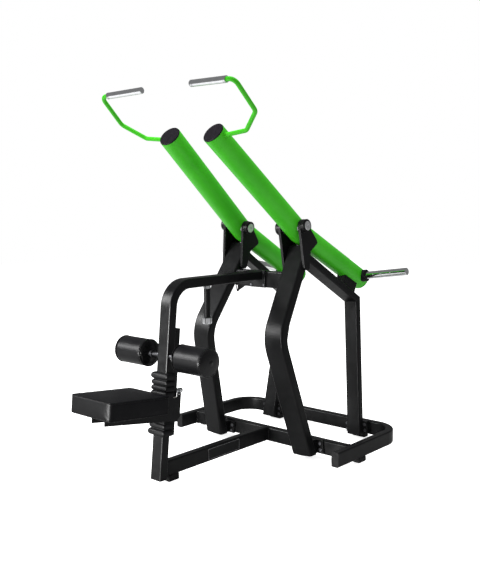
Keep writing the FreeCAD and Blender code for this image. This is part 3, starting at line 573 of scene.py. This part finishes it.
def pad_outline(inset, per_corner=8):
    """Rounded rectangle around the cushion, as (x, v) points."""
    hx = pad_x - inset
    hv = half_v - inset
    r = max(0.004, PAD_CORNER - inset)
    out = []
    for cx, cv, start in ((1, 1, 0), (-1, 1, 90), (-1, -1, 180), (1, -1, 270)):
        for i in range(per_corner + 1):
            t = math.radians(start + 90 * i / per_corner)
            out.append((cx * (hx - r) + r * math.cos(t), mid_v + cv * (hv - r) + r * math.sin(t)))
    return out


def pad_inset(co):
    """How far inside the cushion's outline a point lies."""
    qx = abs(co.dot(ACROSS)) - pad_x + PAD_CORNER
    qv = abs(co.dot(BACK_POST) - mid_v) - half_v + PAD_CORNER
    return PAD_CORNER - math.hypot(max(qx, 0), max(qv, 0)) - min(max(qx, qv), 0)


SEAM_DROP = 0.0075         # the top seam lies this far under the cushion's crown
WALL_IN = 0.0025           # the walls start this far inside and swell outward
seam_w = pad_w[1] - SEAM_DROP
bm = bmesh.new()
rows = []
for inset, w in ((0.012, pad_w[0] + 0.0005), (0.004, pad_w[0] + 0.0015),
                 (WALL_IN, pad_w[0] + 0.007), (WALL_IN, seam_w - 0.003),
                 (WALL_IN + 0.0012, seam_w + 0.001),
                 (0.009, pad_w[1] - 0.0055), (0.030, pad_w[1] - 0.0045)):
    rows.append([bm.verts.new(pad_place(x, v, w)) for x, v in pad_outline(inset)])
for low, high in zip(rows, rows[1:]):
    for i in range(len(low)):
        j = (i + 1) % len(low)
        bm.faces.new((low[i], low[j], high[j], high[i]))
bm.faces.new(rows[0])
bm.faces.new(list(reversed(rows[-1])))


def pad_pinned(co):
    w = co.dot(UP_POST)
    seam = abs(w - seam_w) < 0.004 and pad_inset(co) < 0.007
    return w < pad_w[0] + 0.004 or seam


cushion = soft_piece("seat_cushion", bm, M["vinyl"], "seat_carriage",
                     pad_pinned, 0.0055)
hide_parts("seat_pad", "seat_board")

bm = bmesh.new()
bm.from_mesh(cushion.data)
surface = BVHTree.FromBMesh(bm)
bm.free()


def on_surface(points, lift):
    """The points moved onto the cushion's surface, then lifted off it a little."""
    out = []
    for p in points:
        spot, normal = surface.find_nearest(p)[:2]
        out.append(spot + normal * lift)
    return out


def pad_loop(w, step):
    """An even loop round the cushion at one height."""
    return resample([pad_place(x, v, w) for x, v in pad_outline(0.0, 10)], step, True)


WELT_STEP = 0.004
STITCH_STEP = 0.0026       # every second step is a stitch, the others are the gaps
STITCH_DROP = 0.0062       # the stitched line lies this far under the top seam

bm = bmesh.new()
top_seam = on_surface(pad_loop(seam_w, WELT_STEP), 0.0004)
low_seam = on_surface(pad_loop(pad_w[0] + 0.006, WELT_STEP), 0.0002)
add_tube(bm, top_seam, 0.0021, True, sides=10, step=0.002)
add_tube(bm, low_seam, 0.0016, True, sides=8, step=0.002)
new_piece("seat_welt", bm, M["vinyl"], "seat_carriage", crease=180)

bm = bmesh.new()
stitch_line = on_surface(pad_loop(seam_w - STITCH_DROP, STITCH_STEP), 0.0002)
for i in range(0, len(stitch_line) - 1, 2):
    add_tube(bm, stitch_line[i:i + 2], 0.00045, False, sides=5, step=0.0013)
new_piece("seat_stitching", bm, M["thread"], "seat_carriage", crease=180)

# ------------------------------------------------------------------ thigh rollers
FOAM_IN = 0.0018           # the sleeve starts this much thinner and swells out
END_GAP = 0.0005           # and this much short of each end
CAP_LIP = ((0.0002, 0.0020), (0.0010, 0.0005), (0.0030, 0.0), (0.0052, 0.0012), (0.0060, 0.0032),
           (0.0056, 0.0050))   # round rim of an end cap: (outward, under the rim's radius)
LIP_TOP = 0.0056
CROWN_IN = 0.0065          # the dome starts this far inside the rim
CROWN_STEPS = 12


def domed(start, way, rim, rise, core, middle):
    """Profile of a domed end cap, from the core out over the rim and in to a middle radius."""
    out = [(start + way * CAP_LIP[0][0], core)]
    out += [(start + way * far, rim - drop) for far, drop in CAP_LIP]
    edge = rim - CROWN_IN
    for k in range(CROWN_STEPS + 1):
        t = k / CROWN_STEPS
        r = edge * (1 - t ** 2) + middle * t ** 2
        out.append((start + way * (LIP_TOP + rise * (1 - (r / edge) ** 2) ** 0.55), r))
    return out


for hand, sign in (("right", 1), ("left", -1)):
    foam = "roller_foam_" + hand
    body = "roller_" + hand
    reach = [sign * d for d in span(foam, ACROSS)]
    inner = min(reach)
    outer = max(reach)
    v_mid = sum(span(foam, BACK_POST)) / 2
    w_mid = sum(span(foam, UP_POST)) / 2
    r_foam = (span(foam, UP_POST)[1] - span(foam, UP_POST)[0]) / 2
    core_reach = span("roller_core_" + hand, UP_POST)
    r_core = (core_reach[1] - core_reach[0]) / 2
    centre = pad_place(0, v_mid, w_mid)
    axis = ACROSS * sign
    r0 = r_foam - FOAM_IN
    first = inner + END_GAP
    last = outer - END_GAP
    profile = [(first, r_core + 0.0005), (first, r0 - 0.007), (first + 0.002, r0 - 0.002),
               (first + 0.007, r0), ((inner + outer) / 2, r0), (last - 0.007, r0),
               (last - 0.002, r0 - 0.002), (last, r0 - 0.007),
               (last, r_core + 0.0005), (first, r_core + 0.0005)]
    bm = turned_mesh(centre, axis, profile, 72)
    bmesh.ops.remove_doubles(bm, verts=bm.verts, dist=1e-6)

    def roller_pinned(co, lo=inner, hi=outer, mid=centre, s=sign):
        along = co.x * s
        off = co - mid
        off.x = 0
        return along < lo + 0.006 or along > hi - 0.006 or off.length < 0.03

    roll = soft_piece("roller_pad_" + hand, bm, M["skin"], body,
                      roller_pinned, FOAM_IN)
    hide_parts(foam)

    caps = [sign * d for d in span("roller_caps_" + hand, ACROSS)]
    rim = r_foam - 0.0004
    tall = max(caps) - outer
    crown = outer + tall
    profile = domed(outer, 1, rim, tall - 0.0066, r_core, 0.009)
    profile += [(crown - 0.0006, 0.0082), (crown, 0.0070), (crown, 0.0)]
    bm = turned_mesh(centre, axis, profile, 96)
    cap_out = new_piece("roller_end_outer_" + hand, bm, M["gloss"], body)
    depth = inner - min(caps)
    crown = inner - depth
    profile = domed(inner, -1, rim, depth - 0.0060, r_core, 0.024)
    profile += [(crown, 0.0225), (crown, 0.0175), (crown + 0.002, r_core), (inner - 0.0002, r_core)]
    bm = turned_mesh(centre, axis, profile, 96)
    bmesh.ops.remove_doubles(bm, verts=bm.verts, dist=1e-7)
    cap_in = new_piece("roller_end_inner_" + hand, bm, M["gloss"], body)
    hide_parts("roller_caps_" + hand)
    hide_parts("roller_caps_" + hand)

# ------------------------------------------------------------------ ribbed buffers on the post
post_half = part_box("front_post")[1][0]
front_v = span("front_post", BACK_POST)[0]
BUFFER_BACK = 0.047
BUFFER_WALL = 0.008


def buffer_row(w, reach):
    """U-shaped outline round the post: outer wall out to the reach, inner wall on the post."""
    a = post_half + 0.004 + reach
    f = front_v - reach
    back = front_v + BUFFER_BACK
    r = 0.009
    pts = [(-a, back), (-a, (back + f) / 2), (-a, f + r)]
    for i in range(1, 6):
        t = math.radians(180 + 90 * i / 5)
        pts.append((-a + r + r * math.cos(t), f + r + r * math.sin(t)))
    pts.append((0, f))
    for i in range(0, 6):
        t = math.radians(270 + 90 * i / 5)
        pts.append((a - r + r * math.cos(t), f + r + r * math.sin(t)))
    pts += [(a, (back + f) / 2), (a, back)]
    g = post_half + 0.0005
    pts += [(g, back), (g, front_v - 0.0005), (-g, front_v - 0.0005), (-g, back)]
    return [pad_place(x, v, w) for x, v in pts]


def bellows(name, low, high, crests):
    """Ribbed buffer; each crest is (height along the post, rib height, reach)."""
    bm = bmesh.new()
    rows = []
    steps = round((high - low) / 0.0012)
    for i in range(steps + 1):
        w = low + (high - low) * i / steps
        reach = BUFFER_WALL
        for c, h, r in crests:
            t = (w - c) / (h / 2)
            if abs(t) < 1:
                reach = max(reach, BUFFER_WALL + (r - BUFFER_WALL) * (1 - abs(t) ** 2.4) ** 0.55)
        rows.append([bm.verts.new(p) for p in buffer_row(w, reach)])
    for a, b in zip(rows, rows[1:]):
        for i in range(len(a)):
            j = (i + 1) % len(a)
            bm.faces.new((a[i], a[j], b[j], b[i]))
    bm.faces.new(rows[0])
    bm.faces.new(list(reversed(rows[-1])))
    return new_piece(name, bm, M["rubber"], "seat_carriage", crease=50)


solids = sorted(islands("ribbed_buffers"), key=lambda pts: sum(p.z for p in pts) / len(pts))
lower = [p.dot(UP_POST) for p in solids[0]]
upper = [p.dot(UP_POST) for p in solids[-1]]
lo, hi = min(upper), max(upper)
crests = [(hi - 0.0185, 0.035, 0.020)]
crests += [(hi - drop, 0.028, 0.0165) for drop in (0.054, 0.084, 0.114)]
top_bellows = bellows("buffer_upper", lo, hi, crests)
lo, hi = min(lower), max(lower)
crests = [(lo + 0.018, 0.035, 0.020), (lo + 0.054, 0.028, 0.0155)]
low_bellows = bellows("buffer_lower", lo, hi, crests)
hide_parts("ribbed_buffers")
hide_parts("ribbed_buffers")

# ------------------------------------------------------------------ hand grips
GRIP_BORE = 0.01205

for hand in ("right", "left"):
    name = "hand_grip_" + hand
    pts = [v.co.copy() for v in nodes[name].data.vertices]
    mean = sum(pts, Vector()) / len(pts)
    axis = Vector((1, 0, 0))
    for _ in range(30):        # power iteration: the grip's long axis
        axis = sum(((p - mean) * (p - mean).dot(axis) for p in pts), Vector()).normalized()
    inward = -1 if mean.x > 0 else 1
    if axis.x * inward < 0:
        axis = -axis
    reach = [p.dot(axis) for p in pts]
    ends = [min(reach), max(reach)]
    thick = max((p - mean - axis * (p - mean).dot(axis)).length for p in pts)
    start = mean + axis * (ends[0] - mean.dot(axis))
    long = ends[1] - ends[0]
    r = thick
    land = r - 0.0002          # plain chrome at the two ends
    groove = r - 0.0010
    knurl = r - 0.0004
    profile = [(long - 0.005, 0), (long - 0.005, GRIP_BORE), (0, GRIP_BORE), (0, r - 0.0016),
               (0.0014, land), (0.0090, land), (0.0096, groove), (0.0110, groove), (0.0118, knurl)]
    for k in range(24):
        profile.append((0.0118 + (long - 0.0318) * (k + 1) / 24, knurl))
    profile += [(long - 0.0185, groove), (long - 0.0170, groove), (long - 0.0164, land),
                (long - 0.0040, land), (long - 0.0015, r - 0.0014), (long - 0.0002, r - 0.0042),
                (long, 0)]
    bm = turned_mesh(start, axis, profile, 96)
    grip = new_piece("grip_" + hand, bm, M["grip"], "arm_" + hand, crease=50)
    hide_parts(name)

# ------------------------------------------------------------------ handle bars
SIDE_X = 0.3526            # where a side plane meets the underside of the frame
FRAME_Z = 0.030            # height of that underside
DATUM_Y = 0.003159         # brings the middle of the overall length to Y = 0
BAR_PATH = ((0.0, -0.274, 1.836), (0.212, -0.277, 1.835), (0.346, -0.353, 1.903),
            (0.353, -0.503, 2.046), (0.0465, -0.480, 2.086))
BAR_R = 0.012
BAR_BEND = 0.038
TUBE_R = 0.064             # lever tube, which hides the bar's root
BAR_HIDDEN = 0.006         # length of bar inside the tube and inside the grip's end


def side_point(x, y, z, hand):
    """A point of the leaning side plane's own coordinates, in the frame's."""
    lean = joints["arm_pull_right"]["axis"]
    c, s = abs(lean[0]), abs(lean[2])
    return Vector((hand * (SIDE_X + x * c - z * s), y + DATUM_Y, FRAME_Z + x * s + z * c))


def rounded(points, radius, per_bend=14):
    """The polyline with an arc of one radius at every inner corner."""
    out = [points[0]]
    for before, corner, after in zip(points, points[1:], points[2:]):
        a = (before - corner).normalized()
        b = (after - corner).normalized()
        half = a.angle(b) / 2
        middle = corner + (a + b).normalized() * (radius / math.sin(half))
        start = corner + a * (radius / math.tan(half)) - middle
        end = corner + b * (radius / math.tan(half)) - middle
        for i in range(per_bend + 1):
            arm = start.slerp(end, i / per_bend)
            out.append(middle + arm.normalized() * radius)
    return out + [points[-1]]


for hand, sign in (("right", 1), ("left", -1)):
    path = [side_point(*p, sign) for p in BAR_PATH]
    path[0] += (path[1] - path[0]).normalized() * (TUBE_R - BAR_HIDDEN)
    path[-1] += (path[-2] - path[-1]).normalized() * BAR_HIDDEN
    bm = bmesh.new()
    add_tube(bm, rounded(path, BAR_BEND), BAR_R, False, sides=48, step=0.004)
    tube = new_piece("bar_" + hand, bm, M["green"], "arm_" + hand, crease=50)
    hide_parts("handle_bar_" + hand)

# ------------------------------------------------------------------ blank plate border
box_low, box_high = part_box("name_plate")
face_x = box_high[0]
BORDER_OUT = 0.0025        # insets of the border's outer and inner edges
BORDER_IN = 0.0042
BORDER_SECTION = ((BORDER_OUT, -0.0002), (BORDER_OUT, 0.0006),
                  (BORDER_IN, 0.0006), (BORDER_IN, -0.0002))   # (inset, height off the plate)
bm = bmesh.new()
rows = []
for inset, lift in BORDER_SECTION:
    r = 0.004 - inset * 0.4
    y0, y1 = box_low[1] + inset, box_high[1] - inset
    z0, z1 = box_low[2] + inset, box_high[2] - inset
    corners = ((y1 - r, z1 - r, 0), (y0 + r, z1 - r, 90),
               (y0 + r, z0 + r, 180), (y1 - r, z0 + r, 270))
    row = []
    for cy, cz, start in corners:
        for i in range(5):
            t = math.radians(start + 22.5 * i)
            row.append(bm.verts.new((face_x + lift, cy + r * math.cos(t), cz + r * math.sin(t))))
    rows.append(row)
for k in range(4):
    a = rows[k]
    b = rows[(k + 1) % 4]
    for i in range(len(a)):
        j = (i + 1) % len(a)
        bm.faces.new((a[i], a[j], b[j], b[i]))
new_piece("plate_border", bm, M["border"], "frame")

# ------------------------------------------------------------------ weld beads
LEAN_RIGHT = Vector(joints["arm_pull_right"]["axis"]).normalized()
LEAN_LEFT = Vector((-LEAN_RIGHT.x, 0, LEAN_RIGHT.z))
for name, part, way in (("weld_centre_front", "centre_beam", -BACK_POST),
                        ("weld_centre_rear", "centre_beam", (0, 1, 0)),
                        ("weld_cross_right", "cross_beam", (1, 0, 0)),
                        ("weld_cross_left", "cross_beam", (-1, 0, 0)),
                        ("weld_top_flange", "front_post", (0, 1, 0)),
                        ("weld_member_right", "leg_cross_member", LEAN_RIGHT),
                        ("weld_member_left", "leg_cross_member", LEAN_LEFT)):
    weld(name, part, way)

# ------------------------------------------------------------------ camera
cam_data = bpy.data.cameras.new("camera")
cam = bpy.data.objects.new("camera", cam_data)
bpy.context.scene.collection.objects.link(cam)
bpy.context.scene.camera = cam
cam_data.sensor_width = 36.0
cam_data.lens = 49.80
cam_data.clip_start = 0.05
cam_data.clip_end = 60.0
CAMERA_PLACE = (3.0490, -3.3772, 1.5156)
CAMERA_TURN = 41.248       # degrees about the vertical
CAMERA_DOWN = 6.052
CAMERA_ROLL = -0.351
cam.matrix_world = (Matrix.Translation(CAMERA_PLACE)
                    @ Matrix.Rotation(math.radians(CAMERA_TURN), 4, "Z")
                    @ Matrix.Rotation(math.radians(90 - CAMERA_DOWN), 4, "X")
                    @ Matrix.Rotation(math.radians(CAMERA_ROLL), 4, "Z"))

# ------------------------------------------------------------------ floor and light
bm = bmesh.new()
bmesh.ops.create_grid(bm, x_segments=24, y_segments=24, size=14.0)
floor_mat, tree, shader, coords = start_material("floor_white", specular=0.1)
mottle = mix_colour(tree, noise(tree, coords, 1.5, 3), (0.93, 0.93, 0.93), (0.90, 0.90, 0.90))
path = tree.nodes.new("ShaderNodeLightPath")
tone = mix_colour(tree, path.outputs["Is Glossy Ray"], mottle, (0.50, 0.50, 0.50))
tree.links.new(tone, shader.inputs["Base Color"])
shader.inputs["Roughness"].default_value = 0.95
glow = node(tree, "ShaderNodeEmission")
tree.links.new(remap(tree, path.outputs["Is Camera Ray"], 0, 1, 0.0, 0.86), glow.inputs["Strength"])
total = tree.nodes.new("ShaderNodeAddShader")
tree.links.new(shader.outputs["BSDF"], total.inputs[0])
tree.links.new(glow.outputs["Emission"], total.inputs[1])
tree.links.new(total.outputs["Shader"], tree.nodes["Material Output"].inputs["Surface"])
floor = new_piece("floor", bm, floor_mat, None)
floor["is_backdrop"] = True

world = bpy.data.worlds.new("studio")
bpy.context.scene.world = world
world.use_nodes = True
wt = world.node_tree
background = wt.nodes["Background"]
path = wt.nodes.new("ShaderNodeLightPath")
glossy = remap(wt, path.outputs["Is Glossy Ray"], 0, 1, 0.46, 0.22)
seen = wt.nodes.new("ShaderNodeMath")
seen.operation = "MAXIMUM"
wt.links.new(path.outputs["Is Camera Ray"], seen.inputs[0])
wt.links.new(glossy, seen.inputs[1])
background.inputs["Color"].default_value = (1.0, 1.0, 1.0, 1)
wt.links.new(seen.outputs["Value"], background.inputs["Strength"])


def area(name, place, aim, size, power):
    """A soft rectangular light that faces a point."""
    light = bpy.data.lights.new(name, "AREA")
    light.shape = "RECTANGLE"
    light.size = size[0]
    light.size_y = size[1]
    light.energy = power
    obj = bpy.data.objects.new(name, light)
    bpy.context.scene.collection.objects.link(obj)
    obj.location = place
    obj.rotation_mode = "QUATERNION"
    obj.rotation_quaternion = (Vector(aim) - Vector(place)).to_track_quat("-Z", "Y")
    return obj


key = area("key", (-3.2, -3.6, 2.9), (0, 0, 0.9), (1.6, 2.4), 260)
top = area("top", (-0.3, 0.2, 5.6), (0, 0.1, 0.0), (4.5, 4.5), 430)
for light in (key, top):
    light.visible_glossy = False
gleam = area("gleam", (-3.0, -3.4, 2.7), (0, 0, 0.9), (1.8, 1.8), 400)
strip = area("strip", (-0.4, -5.2, 0.6), (0, 0, 0.6), (2.2, 1.0), 1700)
# The two hard lights only draw the soft highlights of the black parts.
dark_parts = bpy.data.collections.new("dark_parts")
BRIGHT = {"zinc", "chrome", "horn", "grip", "green", "steel", "nylon", "border"}
bright = {M[key] for key in BRIGHT}
for obj in bpy.context.scene.objects:
    if obj.type == "MESH" and obj is not floor and obj.data.materials[0] not in bright:
        dark_parts.objects.link(obj)
for light in (gleam, strip):
    light.visible_diffuse = False
    light.visible_camera = False
    light.light_linking.receiver_collection = dark_parts
bpy.context.scene.view_settings.view_transform = "Standard"

low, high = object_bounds()
